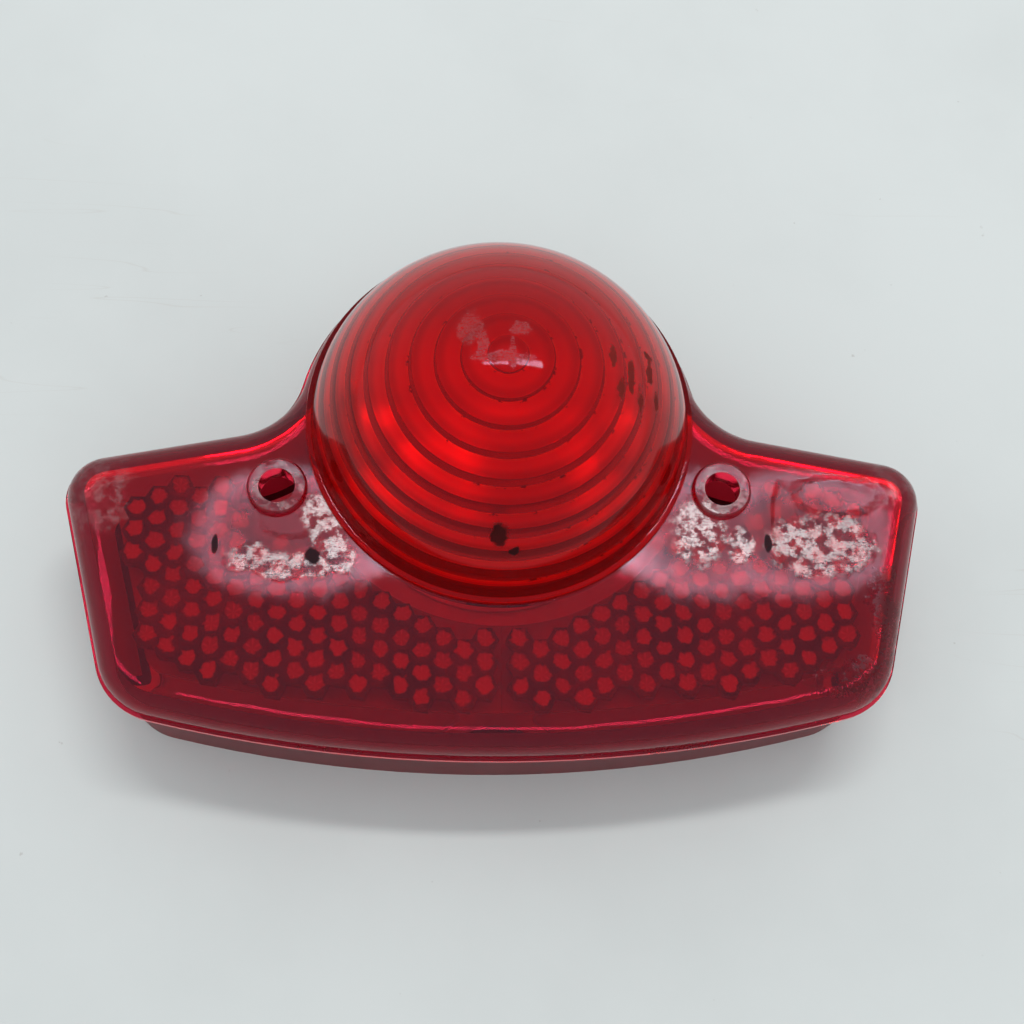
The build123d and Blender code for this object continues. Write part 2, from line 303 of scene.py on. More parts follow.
def maths(operation, *values, clamp=False):
    """One Math node's result. At least one of the values is a Value."""
    tree = next(value.tree for value in values if isinstance(value, Value))
    made = tree.nodes.new("ShaderNodeMath")
    made.operation = operation
    made.use_clamp = clamp
    for target, value in zip(made.inputs, values):
        feed(target, value)
    return Value(made.outputs[0])


def larger(first, second):
    """The larger of two values."""
    return maths("MAXIMUM", first, second)


def left_of_one(value):
    """What the value leaves of 1, and never less than 0."""
    return maths("SUBTRACT", 1.0, value, clamp=True)


def distance(first, second):
    """Length of the hypotenuse over two values."""
    return maths("SQRT", first * first + second * second)


def parts(vector):
    """The x, y and z of a vector."""
    made = add_node(vector.tree, "ShaderNodeSeparateXYZ", Vector=vector)
    return [Value(socket) for socket in made.outputs]


def vector_maths(operation, result, *vectors):
    """One Vector Math node's result."""
    made = vectors[0].tree.nodes.new("ShaderNodeVectorMath")
    made.operation = operation
    for target, vector in zip(made.inputs, vectors):
        feed(target, vector)
    return Value(made.outputs[result])


def ramp(value, low, high, start=0.0, end=1.0):
    """A value mapped smoothly from low..high to start..end."""
    made = add_node(value.tree, "ShaderNodeMapRange", Value=value, From_Min=low, From_Max=high,
                    To_Min=start, To_Max=end)
    made.interpolation_type = "SMOOTHSTEP"
    return Value(made.outputs["Result"])


def noise(place, scale, detail=4.0, roughness=0.5):
    """A noise value between 0 and 1."""
    made = add_node(place.tree, "ShaderNodeTexNoise", Vector=place, Scale=scale, Detail=detail,
                    Roughness=roughness)
    return Value(made.outputs[0])


def stretched(place, turn, scale):
    """Coordinates turned about Z and stretched, for grain that runs one way."""
    made = add_node(place.tree, "ShaderNodeMapping", Vector=place, Rotation=(0.0, 0.0, turn), Scale=scale)
    return Value(made.outputs["Vector"])


def blend_colour(factor, first, second):
    """First and second colour mixed by the factor."""
    made = factor.tree.nodes.new("ShaderNodeMix")
    made.data_type = "RGBA"
    for index, value in ((0, factor), (6, first), (7, second)):
        feed(made.inputs[index], value)
    return Value(made.outputs[2])


def bump(height, depth, strength=1.0):
    """A normal from a height."""
    made = add_node(height.tree, "ShaderNodeBump", Height=height, Strength=strength, Distance=depth)
    return Value(made.outputs["Normal"])


def new_material(name):
    """An empty material: (material, its shader, the piece's own coordinates)."""
    material = bpy.data.materials.new(name)
    material.use_nodes = True
    tree = material.node_tree
    tree.nodes.clear()
    output = tree.nodes.new("ShaderNodeOutputMaterial")
    shader = tree.nodes.new("ShaderNodeBsdfPrincipled")
    tree.links.new(shader.outputs["BSDF"], output.inputs["Surface"])
    return material, shader, Value(tree.nodes.new("ShaderNodeTexCoord").outputs["Object"])


def new_group(name, numbers, results):
    """A node group that takes a vector and numbers with defaults: (its inputs as Values, its outputs)."""
    group = bpy.data.node_groups.new(name, "ShaderNodeTree")
    for label, default in numbers.items():
        kind = "NodeSocketVector" if default is None else "NodeSocketFloat"
        socket = group.interface.new_socket(label, in_out="INPUT", socket_type=kind)
        if default is not None:
            socket.default_value = default
    for label in results:
        group.interface.new_socket(label, in_out="OUTPUT", socket_type="NodeSocketFloat")
    entry = group.nodes.new("NodeGroupInput")
    given = {socket.name: Value(socket) for socket in entry.outputs}
    return given, group.nodes.new("NodeGroupOutput").inputs


def use_group(name, place, **values):
    """Places a shared group in a material with its own values, and returns its outputs by name."""
    if name not in bpy.data.node_groups:
        GROUPS[name](name)
    made = place.tree.nodes.new("ShaderNodeGroup")
    made.node_tree = bpy.data.node_groups[name]
    fill(made.inputs, Vector=place, **values)
    return {socket.name: Value(socket) for socket in made.outputs}


# ---------------------------------------------------------------- shared effects


def build_patch(name):
    """Soft oval patch at a place: 1 over its core, 0 outside."""
    given, result = new_group(
        name, {"Vector": None, "Centre": None, "Size": None, "Ragged": 0.3, "Core": 0.7}, ["Mask"])
    offset = vector_maths("SUBTRACT", 0, given["Vector"], given["Centre"])
    scaled = vector_maths("DIVIDE", 0, offset, given["Size"])
    length = vector_maths("LENGTH", "Value", scaled)
    rough = (noise(given["Vector"], 420.0, 5.0, 0.65) - 0.5) * given["Ragged"]
    fill(result, Mask=ramp(length + rough * 4.0, given["Core"], 1.05, 1.0, 0.0))


def build_scratches(name):
    """Fine crossing scratches: a mask of lines and a height."""
    given, result = new_group(name, {"Vector": None, "Scale": 300.0}, ["Mask", "Height"])
    total = None
    for turn, stretch in ((0.5, 12.0), (-0.8, 9.0), (1.9, 14.0)):
        along = stretched(given["Vector"], turn, (1.0, stretch, 4.0))
        line = left_of_one(abs(noise(along, given["Scale"], 3.0, 0.6) - 0.5) * 22.0)
        total = larger(total, line) if total else line
    fill(result, Mask=total, Height=total * -1.0)


def build_specks(name):
    """Small dark specks that gather in clusters."""
    given, result = new_group(name, {"Vector": None, "Scale": 900.0, "Coverage": 0.3}, ["Mask"])
    fine = noise(given["Vector"], given["Scale"], 3.0, 0.6)
    where = noise(given["Vector"], 130.0, 3.0, 0.6)
    over = fine * 0.55 + where * 0.45 - (0.74 - given["Coverage"] * 0.25)
    fill(result, Mask=maths("MULTIPLY", over, 40.0, clamp=True))


def build_rings(name):
    """Masks that follow the steps inside the dome: the inner face, step edges, shade and dirt."""
    given, result = new_group(
        name, {"Vector": None, "Centre Height": 0.0, "First Angle": 0.1, "Angle Step": 0.13,
               "Inner Radius": 0.0268}, ["Inside", "Edge", "Shade", "Dirt"])
    x, y, z = parts(given["Vector"])
    first, step, inner = given["First Angle"], given["Angle Step"], given["Inner Radius"]
    rise = z - given["Centre Height"]
    across = distance(x, y)
    inside = ramp(distance(across, rise) - inner, 0.1 * MM, 0.5 * MM, 1.0, 0.0)
    ring = maths("FLOOR", (maths("ARCTAN2", across, rise) - first) / step)
    above = first + ring * step
    below = above + step
    edge_x = inner * maths("SINE", above)
    edge_z = inner * maths("COSINE", below)
    outer_x = inner * maths("SINE", below)
    away = distance(across - edge_x, rise - edge_z)
    edge = inside * ramp(away, 0.15 * MM, 0.6 * MM, 1.0, 0.0)
    shade = inside * ramp((across - edge_x) / (outer_x - edge_x), 0.45, 0.85)
    clumps = noise(given["Vector"], 600.0, 4.0, 0.7) + ramp(x, -12 * MM, 12 * MM, 0.0, 0.06)
    fill(result, Inside=inside, Edge=edge, Shade=shade, Dirt=edge * ramp(clumps, 0.64, 0.66))


def build_honeycomb(name):
    """Cells of a mirrored, turned honeycomb: nearness to the rim, rays, height and a value per cell."""
    given, result = new_group(
        name, {"Vector": None, "Side": 0.002, "Turn": 0.0, "Start": 0.0}, ["Rim", "Rays", "Up", "Cell"])
    x, y, _ = parts(given["Vector"])
    outwards = abs(x)
    side = given["Side"]
    level, tilt = maths("COSINE", given["Turn"]), maths("SINE", given["Turn"])
    across = (outwards * level + y * tilt) / side - 1.0
    up = (y * level - outwards * tilt - given["Start"]) / side
    near = []
    for shift_x, shift_y in ((0.0, 0.0), (1.5, HALF_HEIGHT)):
        u = maths("WRAP", across - shift_x, 1.5, -1.5)
        v = maths("WRAP", up - shift_y, HALF_HEIGHT, -HALF_HEIGHT)
        near.append((u, v, u * u + v * v))
    second = maths("LESS_THAN", near[1][2], near[0][2])
    u, v = (near[1][k] * second + near[0][k] * (1.0 - second) for k in (0, 1))
    rim = larger(abs(v), abs(u) * HALF_HEIGHT + abs(v) * 0.5) / HALF_HEIGHT
    sixth = maths("ARCTAN2", v, u) * (3.0 / pi)
    rays = maths("PINGPONG", sixth + 6.5, 0.5) * 2.0
    middle_x, middle_y = (maths("ROUND", (whole - part) * 4.0) for whole, part in ((across, u), (up, v)))
    middle = add_node(x.tree, "ShaderNodeCombineXYZ", X=middle_x, Y=middle_y, Z=maths("SIGN", x))
    random = add_node(x.tree, "ShaderNodeTexWhiteNoise", Vector=Value(middle.outputs[0]))
    fill(result, Rim=rim, Rays=rays, Up=v, Cell=Value(random.outputs["Value"]))


GROUPS = {
    "Soft patch": build_patch,
    "Fine scratches": build_scratches,
    "Grime specks": build_specks,
    "Dome rings": build_rings,
    "Honeycomb": build_honeycomb,
}


# ---------------------------------------------------------------- finishes

DIRT = (0.030, 0.022, 0.016, 1.0)
DUST_AND_SHEEN = (0.78, 0.42, 0.42, 1.0)
RUST = (0.24, 0.075, 0.045, 1.0)
MOSS = (0.10, 0.085, 0.045, 1.0)
# Painted shade inside the dome, on its risers and treads.
DOME_PAINTED_SHADE = (0.34, 0.002, 0.004, 1.0)
RISER_SHADE_TINT = (0.30, 0.02, 0.02, 1.0)
# Painted glint along the dome's step edges.
DOME_PAINTED_GLINT = (1.0, 0.07, 0.008, 1.0)
# Painted shade on the skirt under the bead.
SKIRT_PAINTED_SHADE = (0.38, 0.008, 0.020, 1.0)
# Painted highlight rays and painted shade between the prisms.
PRISM_PAINTED_RAY = (1.0, 0.22, 0.20, 1.0)
PRISM_SHADE = (0.42, 0.008, 0.025, 1.0)
PRISM_GAP_SHADE = (0.020, 0.010, 0.014, 1.0)
GLASS_CLEAR = (0.98, 0.99, 1.0, 1.0)
GLASS_SMOKY = (0.86, 0.88, 0.90, 1.0)
HAIRLINE = (0.40, 0.36, 0.32, 1.0)
FLOOR_SPECK = (0.25, 0.22, 0.20, 1.0)
PLASTIC_BEND = 1.49  # index of refraction
GLASS_BEND = 1.50


def clear_plastic(shader, bend, clearness, gloss=(1.0, 1.0, 1.0, 1.0)):
    """Sets a Principled shader up as clear moulded plastic or glass."""
    fill(shader.inputs, IOR=bend, Transmission_Weight=clearness, Specular_Tint=gloss)


def specks_on(place, scale, coverage):
    """Mask of small dark specks."""
    return use_group("Grime specks", place, Scale=scale, Coverage=coverage)["Mask"]


def marked(place, marks, ragged, core=0.7):
    """One mask of all the oval marks in a list of (centre, size), full over the core of each."""
    total = None
    for centre, size in marks:
        oval = use_group("Soft patch", place, Centre=centre, Size=size, Ragged=ragged, Core=core)["Mask"]
        total = larger(total, oval) if total else oval
    return total


def darkened(colour, share):
    """A share of a colour's brightness."""
    return tuple(share * channel for channel in colour[:3]) + (1.0,)


# Marks on the dome, as (centre, size) in metres.
DOME_PAINT = (
    ((-0.0010, -0.0226, 0.0373), (0.0014, 0.0018, 0.0022)),
    ((0.0012, -0.0243, 0.0350), (0.0010, 0.0009, 0.0010)),
)
DOME_SCRATCHES = (
    ((0.0146, 0.0004, 0.0444), (0.0006, 0.0022, 0.0020)),
    ((0.0157, -0.0030, 0.0431), (0.0006, 0.0020, 0.0020)),
    ((0.0172, -0.0010, 0.0426), (0.0005, 0.0028, 0.0024)),
    ((0.0186, -0.0052, 0.0409), (0.0005, 0.0024, 0.0024)),
    ((0.0203, 0.0010, 0.0399), (0.0006, 0.0030, 0.0026)),
    ((0.0212, -0.0030, 0.0387), (0.0004, 0.0020, 0.0024)),
)
DOME_SCUFFS = (
    ((-0.0052, 0.0032, 0.0476), (0.0022, 0.0030, 0.0020)),
    ((-0.0036, 0.0008, 0.0480), (0.0010, 0.0022, 0.0020)),
    ((0.0014, 0.0030, 0.0480), (0.0016, 0.0012, 0.0020)),
    ((-0.0006, -0.0012, 0.0482), (0.0040, 0.0009, 0.0020)),
    ((0.0006, -0.0004, 0.0482), (0.0006, 0.0026, 0.0020)),
)

# Marks on the wings, as (centre, size) in metres.
# Scuffed spots where the wings also get a painted pale sheen.
WING_SHEEN_SCUFFS = (
    ((-0.0268, -0.0155, 0.0250), (0.0026, 0.0034, 0.0020)),
    ((-0.0248, -0.0190, 0.0250), (0.0030, 0.0036, 0.0020)),
    ((-0.0230, -0.0222, 0.0250), (0.0024, 0.0028, 0.0020)),
    ((-0.0365, -0.0220, 0.0250), (0.0034, 0.0024, 0.0020)),
    ((-0.0318, -0.0234, 0.0250), (0.0046, 0.0022, 0.0020)),
    ((-0.0276, -0.0232, 0.0250), (0.0038, 0.0022, 0.0020)),
    ((0.0292, -0.0175, 0.0250), (0.0044, 0.0060, 0.0020)),
    ((0.0350, -0.0200, 0.0250), (0.0024, 0.0030, 0.0020)),
    ((0.0475, -0.0198, 0.0250), (0.0088, 0.0052, 0.0020)),
)
WING_DULL = (
    ((-0.0300, -0.0180, 0.0250), (0.0200, 0.0130, 0.0060)),
    ((0.0300, -0.0180, 0.0250), (0.0160, 0.0130, 0.0060)),
    ((0.0430, -0.0180, 0.0250), (0.0210, 0.0130, 0.0060)),
)
WING_WEAR = (
    ((-0.0590, -0.0120, 0.0235), (0.0055, 0.0075, 0.0050)),
    ((0.0600, -0.0080, 0.0235), (0.0045, 0.0060, 0.0050)),
    ((-0.0327, -0.0114, 0.0262), (0.0048, 0.0048, 0.0008)),
    ((0.0327, -0.0114, 0.0262), (0.0048, 0.0048, 0.0008)),
)
WING_DENTS = (
    ((-0.0305, -0.0160, 0.0250), (0.0050, 0.0034, 0.0060)),
    ((0.0420, -0.0165, 0.0250), (0.0022, 0.0070, 0.0060)),
    ((0.0500, -0.0120, 0.0250), (0.0080, 0.0034, 0.0060)),
)
WING_PAINT = (
    ((-0.0273, -0.0218, 0.0250), (0.0013, 0.0015, 0.0010)),
    ((-0.0412, -0.0202, 0.0250), (0.0005, 0.0018, 0.0010)),
    ((0.0391, -0.0197, 0.0250), (0.0006, 0.0017, 0.0010)),
)
WING_EDGE_DIRT = (
    ((0.0560, -0.0300, 0.0235), (0.0022, 0.0080, 0.0040)),
    ((0.0510, -0.0400, 0.0235), (0.0070, 0.0028, 0.0040)),
    ((0.0050, -0.0485, 0.0200), (0.0300, 0.0010, 0.0012)),
)


def dome_finish(settings, centre_z, inner_radius):
    """Bright clear red: painted shade on the risers and treads and a painted glint along the step edges
    inside, old marks and scuffed spots outside.
    """
    material, shader, place = new_material("clear red dome")
    clear_plastic(shader, PLASTIC_BEND, 0.90, (0.14, 0.14, 0.20, 1.0))
    rings = use_group("Dome rings", place, Centre_Height=centre_z, First_Angle=settings.first_ring,
                      Angle_Step=settings.ring_step, Inner_Radius=inner_radius)
    inside = rings["Inside"]
    facing = Value(place.tree.nodes.new("ShaderNodeTexCoord").outputs["Normal"])
    seen_within = Value(place.tree.nodes.new("ShaderNodeNewGeometry").outputs["Backfacing"])
    # Painted shade: the risers and the inner part of each tread are darkened, only where the inner face
    # is seen from within the plastic.
    riser_shade = inside * ramp(abs(parts(facing)[2]), 0.2, 0.8, 1.0, 0.0) * seen_within
    shade = rings["Shade"] * seen_within
    paint = larger(rings["Dirt"], marked(place, DOME_PAINT, 0.45))
    scratches = marked(place, DOME_SCRATCHES, 1.1)
    lines = use_group("Fine scratches", place, Scale=260.0)["Mask"]
    scuffed = marked(place, DOME_SCUFFS, 0.6) * larger(lines, specks_on(place, 2600.0, 0.95))
    # Painted shade on the risers and on the inner part of each tread.
    colour = blend_colour(riser_shade * 0.4, settings.dome_colour, DOME_PAINTED_SHADE)
    colour = blend_colour(shade * 0.75, colour, DOME_PAINTED_SHADE)
    # Painted glint: an orange tint along each step edge.
    colour = blend_colour(rings["Edge"] * 0.6, colour, DOME_PAINTED_GLINT)
    colour = blend_colour(scuffed * 0.6, colour, DUST_AND_SHEEN)
    colour = blend_colour(scratches * 0.9, colour, RUST)
    haze = ramp(noise(place, 60.0, 5.0, 0.6), 0.35, 0.7, 0.015, 0.05)
    roughness = haze + inside * 0.30 + scuffed * 0.35
    height = scuffed * -0.6 + noise(place, 25.0, 2.0) * 0.8
    # The coat's tint darkens the risers as painted shade.
    fill(shader.inputs, Base_Color=blend_colour(paint, colour, DIRT), Coat_Weight=riser_shade * 0.9,
         Coat_Tint=RISER_SHADE_TINT, Coat_Roughness=0.2,
         Roughness=larger(roughness, larger(paint, scratches) * 0.8),
         Normal=bump(height, 0.03 * MM, 0.5))
    return material


def wing_finish(settings):
    """Clear crimson with a wavy skin, crackled worn patches that also carry a painted pale sheen, a skirt
    with painted shade, dark marks and dirt along the edges.
    """
    material, shader, place = new_material("clear crimson shell")
    clear_plastic(shader, PLASTIC_BEND, 0.975, (0.33, 0.32, 0.41, 1.0))
    scuffs = marked(place, WING_SHEEN_SCUFFS, 0.30)
    wear = marked(place, WING_WEAR, 0.40) * 0.4
    dull = marked(place, WING_DULL, 0.10, 0.15)
    paint = larger(marked(place, WING_PAINT, 0.3), specks_on(place, 1500.0, 0.1))
    soil = marked(place, WING_EDGE_DIRT, 0.8) * (specks_on(place, 1900.0, 1.0) * 0.45 + 0.12)
    lines = use_group("Fine scratches", place, Scale=420.0)["Mask"]
    crackle = ramp(abs(noise(place, 1000.0, 3.0, 0.6) - 0.5), 0.0, 0.045, 1.0, 0.0)
    worn = larger(scuffs, wear) * larger(crackle, lines)
    cloud = ramp(noise(place, 45.0, 5.0, 0.6), 0.35, 0.75, 0.0, 0.05)
    skirt = ramp(parts(place)[2], SKIRT_TOP - MM, SKIRT_TOP, 1.0, 0.0)
    # Pale mix: real dust and scuffing, and over the worn patches also a painted sheen.
    colour = blend_colour(cloud + larger(worn, wear) * 0.30, settings.wing_colour, DUST_AND_SHEEN)
    # Painted shade: the skirt under the bead is darkened.
    colour = blend_colour(skirt * 0.75, colour, SKIRT_PAINTED_SHADE)
    colour = blend_colour(soil, colour, MOSS)
    film = ramp(noise(place, 90.0, 4.0), 0.35, 0.7, 0.005, 0.03)
    roughness = film + (worn * 0.10 + wear * 0.25) + skirt * 0.45 + dull * 0.32
    marks = larger(paint, soil)
    broken = ramp(noise(place, 520.0, 3.0, 0.6), 0.42, 0.56)
    ripples = noise(place, 2200.0, 2.0, 0.6) * scuffs
    waves = noise(place, 150.0, 2.0, 0.5) * 0.5
    height = ripples * 0.8 + waves - marked(place, WING_DENTS, 0.12) * 2.0
    fill(shader.inputs, Base_Color=blend_colour(paint, colour, DIRT),
         Roughness=larger(roughness, marks * 0.7), Coat_Weight=left_of_one(marks) * (worn * broken),
         Coat_Roughness=0.26, Coat_IOR=1.9, Normal=bump(height, 0.05 * MM, 1.0))
    return material


def prism_finish(settings, start):
    """Clear crimson prisms with painted shade along their shared rims and on one side of each cell,
    painted highlight rays, and uneven cells.
    """
    material, shader, place = new_material("clear crimson prisms")
    clear_plastic(shader, PLASTIC_BEND, 0.5, (0.4, 0.4, 0.5, 1.0))
    cells = use_group("Honeycomb", place, Side=settings.prism_side, Turn=settings.field_turn, Start=start)
    rim, cell = cells["Rim"], cells["Cell"]
    uneven = (noise(place, 700.0, 3.0, 0.6) - 0.5) * 0.9
    # Painted shade along the shared rims, darker towards the low side of each cell.
    gap_shade = ramp(rim + uneven - cells["Up"] * 0.22, 0.50, 0.72)
    # Painted highlight: light rays out from each cell's middle.
    painted_rays = ramp(cells["Rays"], 0.04, 0.34, 1.0, 0.0) * ramp(rim, 0.5, 0.85, 1.0, 0.0)
    lit = blend_colour(cell * 0.6, settings.prism_colour, PRISM_SHADE)
    lit = blend_colour(painted_rays * 0.85, lit, PRISM_PAINTED_RAY)
    gap_shade_colour = blend_colour(cell * 0.25, PRISM_GAP_SHADE, PRISM_SHADE)
    cloud = ramp(noise(place, 120.0, 4.0), 0.35, 0.65, 0.8, 1.0)
    fill(shader.inputs, Base_Color=blend_colour(gap_shade * cloud, lit, gap_shade_colour),
         Roughness=ramp(noise(place, 160.0, 3.0), 0.3, 0.7, 0.02, 0.08))
    return material


def painted_finish(name, colour, roughness, grain, grime):
    """Paint, plastic or rubber: even colour with faint mottling, fine grain and settled dirt."""
    material, shader, place = new_material(name)
    mottle = ramp(noise(place, 110.0, 5.0, 0.6), 0.3, 0.75, 0.0, 0.16)
    worn = blend_colour(mottle, colour, darkened(colour, 0.55))
    specks = specks_on(place, 1100.0, grime)
    fill(shader.inputs, Base_Color=blend_colour(specks * 0.7, worn, DIRT),
         Roughness=ramp(noise(place, 240.0, 3.0), 0.3, 0.7, roughness - 0.06, roughness + 0.08),
         Normal=bump(noise(place, 2200.0, 2.0), grain, 0.5))
    return material


def metal_finish(name, colour, roughness, tarnish=0.25):
    """Bare or plated metal: brushed grain, fine scratches and patchy tarnish."""
    material, shader, place = new_material(name)
    scratches = use_group("Fine scratches", place, Scale=380.0)["Height"]
    grain = noise(stretched(place, 0.3, (1.0, 9.0, 1.0)), 500.0, 3.0)
    dull = ramp(noise(place, 260.0, 5.0, 0.65), 0.45, 0.75) * tarnish
    brushed = ramp(grain, 0.3, 0.7, roughness - 0.07, roughness + 0.1)
    fill(shader.inputs, Metallic=1.0, Base_Color=blend_colour(dull, colour, darkened(colour, 0.35)),
         Roughness=maths("ADD", brushed, dull * 0.5, clamp=True),
         Normal=bump(scratches, 0.01 * MM, 0.4))
    return material


def glass_finish():
    """Clear bulb glass with a faint smoky film."""
    material, shader, place = new_material("bulb glass")
    clear_plastic(shader, GLASS_BEND, 1.0)
    film = ramp(noise(place, 120.0, 4.0), 0.3, 0.8)
    fill(shader.inputs, Base_Color=blend_colour(film, GLASS_CLEAR, GLASS_SMOKY),
         Roughness=ramp(noise(place, 300.0, 3.0), 0.3, 0.7, 0.0, 0.04))
    return material


def floor_finish(colour):
    """Pale matt board with faint stains, specks and hairline marks."""
    material, shader, place = new_material("pale floor")
    stains = ramp(noise(place, 9.0, 6.0, 0.6), 0.40, 0.70, 0.0, 0.35)
    along = stretched(place, 0.5, (1.0, 16.0, 1.0))
    hairs = left_of_one(abs(noise(along, 9.0, 2.0) - 0.5) * 260.0)
    hairs = hairs * ramp(noise(place, 14.0, 2.0), 0.55, 0.65)
    stained = blend_colour(stains, colour, darkened(colour, 0.82))
    stained = blend_colour(hairs * 0.22, stained, HAIRLINE)
    fill(shader.inputs, Roughness=0.75,
         Base_Color=blend_colour(specks_on(place, 700.0, 0.25) * 0.35, stained, FLOOR_SPECK))
    return material


# ---------------------------------------------------------------- dome


def dome_sphere(settings):
    """Centre height, radius, foot radius and foot height of the dome's outer sphere."""
    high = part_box("lens_dome")[1]
    foot_radius = high.x - settings.flange_step
    foot_z = FACE_Z + settings.flange_step
    rise = high.z - foot_z
    radius = (foot_radius**2 + rise**2) / (2 * rise)
    return high.z - radius, radius, foot_radius, foot_z


def dome_profile(settings):
    """Half outline of the dome, from its top outside to its middle inside, with softened corners."""
    low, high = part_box("lens_dome")
    centre_z, radius, foot_radius, foot_z = dome_sphere(settings)
    foot_angle = atan2(foot_radius, foot_z - centre_z)
    arc_steps = 44
    angles = [foot_angle * index / arc_steps for index in range(arc_steps + 1)]
    outside = [(radius * sin(angle), centre_z + radius * cos(angle)) for angle in angles]
    flange = high.x - settings.film
    soft = 0.22 * MM  # how far a corner is cut back
    third = 0.3 * soft
    foot = [(flange - soft, foot_z), (flange - third, foot_z - third), (flange, foot_z - soft),
            (flange, low.z)]
    inner = radius - settings.wall
    angles = [settings.first_ring + index * settings.ring_step for index in range(settings.ring_count)]
    corners = [(inner * sin(angle), centre_z + inner * cos(angle)) for angle in angles]
    inside = [(corners[-1][0], low.z)]
    for index in reversed(range(settings.ring_count)):
        x, z = corners[index]
        inside += [(x, z - soft), (x - third, z - third), (x - soft, z)]
        if index:
            step_in = corners[index - 1][0]
            inside += [(step_in + soft, z), (step_in + third, z + third), (step_in, z + soft)]
    inside.append((0.0, corners[0][1]))
    return [(x, 0.0, z) for x, z in outside + foot + inside]


class TAILLIGHT_OT_dome(bpy.types.Operator):
    """Models the ringed dome and gives it its clear red finish"""

    bl_idname = "taillight.dome"
    bl_label = "Ringed dome"

    def execute(self, context):
        settings = context.scene.lens_settings
        dome = draw_profile("ringed_dome", dome_profile(settings))
        spin_round(dome, centre=(0, 0, 0), axis=(0, 0, 1), steps=160, sharp_over=28)
        centre_z, radius, _, _ = dome_sphere(settings)
        finish = dome_finish(settings, centre_z, radius - settings.wall)
        place_piece(dome, "lens", "lens_dome", finish)
        return {"FINISHED"}


# ---------------------------------------------------------------- wings and prisms


class TAILLIGHT_OT_wing_shell(bpy.types.Operator):
    """Makes the shell with its rounded edge, bead, skirt and bosses, in clear crimson"""

    bl_idname = "taillight.wing_shell"
    bl_label = "Wing shell"

    def execute(self, context):
        finish = wing_finish(context.scene.lens_settings)
        refine("wing_shell", "crimson_shell", "lens", finish, 0.12 * MM)
        return {"FINISHED"}


def prism_cell(side, top, bottom):
    """One hexagonal prism whose foot is a cube corner, pointing down."""
    clear_selection()
    bpy.ops.mesh.primitive_circle_add(vertices=6, radius=side, fill_type="NGON", location=(0, 0, 0))
    cell = bpy.context.object
    cell.name = "prism_cell"
    bpy.ops.object.mode_set(mode="EDIT")
    bpy.ops.mesh.select_all(action="SELECT")
    bpy.ops.transform.rotate(value=radians(30), orient_axis="Z", center_override=(0, 0, 0))
    bpy.ops.transform.translate(value=(0, 0, top))
    bpy.ops.mesh.extrude_region_move(TRANSFORM_OT_translate={"value": (0, 0, bottom - top)})
    bpy.ops.mesh.poke()
    step = side / sqrt(2.0)
    half_way = 0.5 * (top + bottom)

    def foot_corner(point, odd):
        """Whether a point is an odd or an even corner of the prism's foot."""
        sixth = round(atan2(point.y, point.x) / radians(60))
        return point.z < half_way and point.to_2d().length > 0.5 * side and sixth % 2 == odd

    for odd, rise in ((1, step), (0, 2 * step)):
        lift_points(cell, rise, lambda point: foot_corner(point, odd))
    tidy_mesh()
    bpy.ops.object.mode_set(mode="OBJECT")
    return cell


def lift_points(piece, rise, wanted):
    """In edit mode, moves up the points that the test picks out."""
    bpy.ops.mesh.select_mode(type="VERT")
    bpy.ops.mesh.select_all(action="DESELECT")
    bpy.ops.object.mode_set(mode="OBJECT")
    for vertex in piece.data.vertices:
        vertex.select = bool(wanted(vertex.co))
    bpy.ops.object.mode_set(mode="EDIT")
    bpy.ops.transform.translate(value=(0, 0, rise))


def inside_field(node, places, height):
    """Whether every place lies over the CAD field's plate."""
    return all(node.ray_cast((x, y, height), (0, 0, -1))[0] for x, y in places)


def field_start():
    """Height in the plan view that the rows of prisms are counted from."""
    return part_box("reflector_insert_left")[0].y - 4 * MM


def prism_places(node, settings, side):
    """Middles of the prisms that fit one wing's field, in a turned honeycomb."""
    edge = settings.prism_side
    rows = sqrt(3.0) * edge
    turn = side * settings.field_turn
    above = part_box(node.name)[1].z + MM
    kept = []
    for column in range(COLUMNS):
        for row in range(*ROWS):
            x = side * (edge + 1.5 * edge * column)
            y = field_start() + rows * (row + 0.5 * (column % 2))
            x, y = x * cos(turn) - y * sin(turn), x * sin(turn) + y * cos(turn)
            reach = edge * (BESIDE_DOME if x * x + y * y < DOME_ZONE**2 else AT_OUTLINE)
            angles = [turn + radians(60 * corner) for corner in range(6)]
            rim = [(x + reach * cos(angle), y + reach * sin(angle)) for angle in angles]
            if side * x > 0.9 * edge and inside_field(node, rim + [(x, y)], above):
                kept.append((x, y))
    return kept


def join_prisms(name, copies):
    """Joins the copies of a prism into one closed field, with no walls left between them."""
    take(copies[0])
    for twin in copies:
        twin.select_set(True)
    bpy.ops.object.join()
    field = bpy.context.object
    field.name = name
    bpy.ops.object.transform_apply(location=True, rotation=True, scale=True)
    bpy.ops.object.mode_set(mode="EDIT")
    bpy.ops.mesh.select_all(action="SELECT")
    bpy.ops.mesh.remove_doubles(threshold=PRISM_MERGE)
    bpy.ops.mesh.select_mode(type="FACE")
    bpy.ops.mesh.select_all(action="DESELECT")
    bpy.ops.mesh.select_interior_faces()
    bpy.ops.mesh.delete(type="FACE")
    bpy.ops.mesh.select_all(action="SELECT")
    bpy.ops.mesh.normals_make_consistent(inside=False)
    bpy.ops.object.mode_set(mode="OBJECT")
    return field


